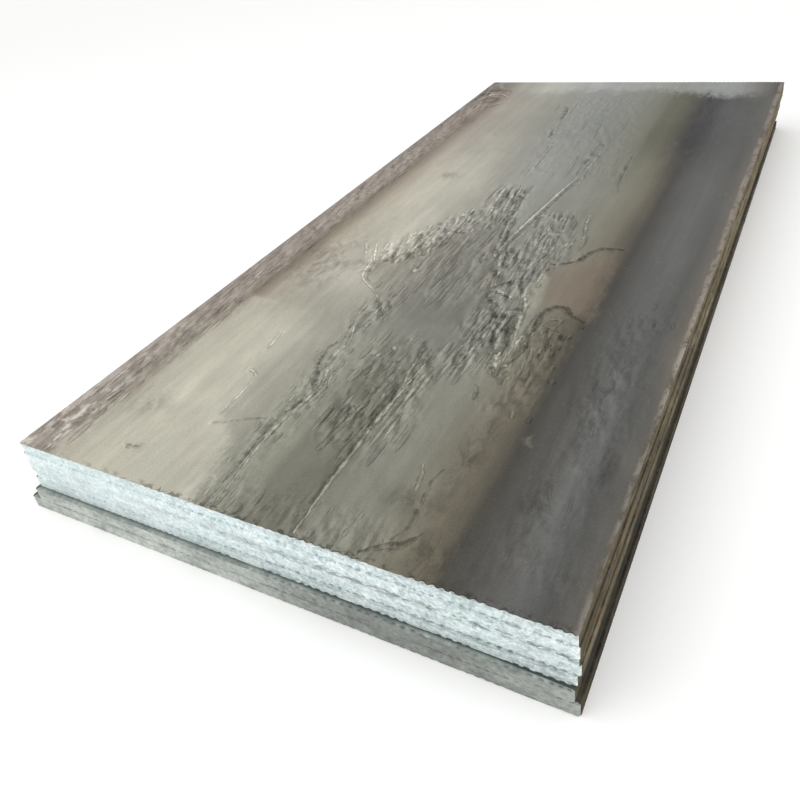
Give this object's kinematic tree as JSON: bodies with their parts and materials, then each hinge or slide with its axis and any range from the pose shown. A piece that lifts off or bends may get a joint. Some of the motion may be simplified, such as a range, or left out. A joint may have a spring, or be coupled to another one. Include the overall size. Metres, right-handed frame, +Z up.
{
  "type": "steel plate stack",
  "caption": "Low stack of loose flat hot-rolled steel plates, those with freshly cut ends lying on thicker scale-covered ones.",
  "frame": {"origin": "bottom centre of the whole stack, on the surface it lies on", "axes": "+X across the plates, +Y along the rolling direction away from the near ends, +Z up"},
  "size_m": [1.5556, 3.3246, 0.22],
  "materials": {
    "top_scale": "satin",
    "cut_steel": "satin",
    "rolled_steel": "matte"
  },
  "bodies": {
    "root": {"upper_plate_1": "top_scale", "upper_plate_2": "cut_steel", "upper_plate_3": "cut_steel", "upper_plate_4": "cut_steel", "upper_plate_5": "cut_steel", "lower_plate_1": "rolled_steel", "lower_plate_2": "rolled_steel"}
  },
  "joints": []
}
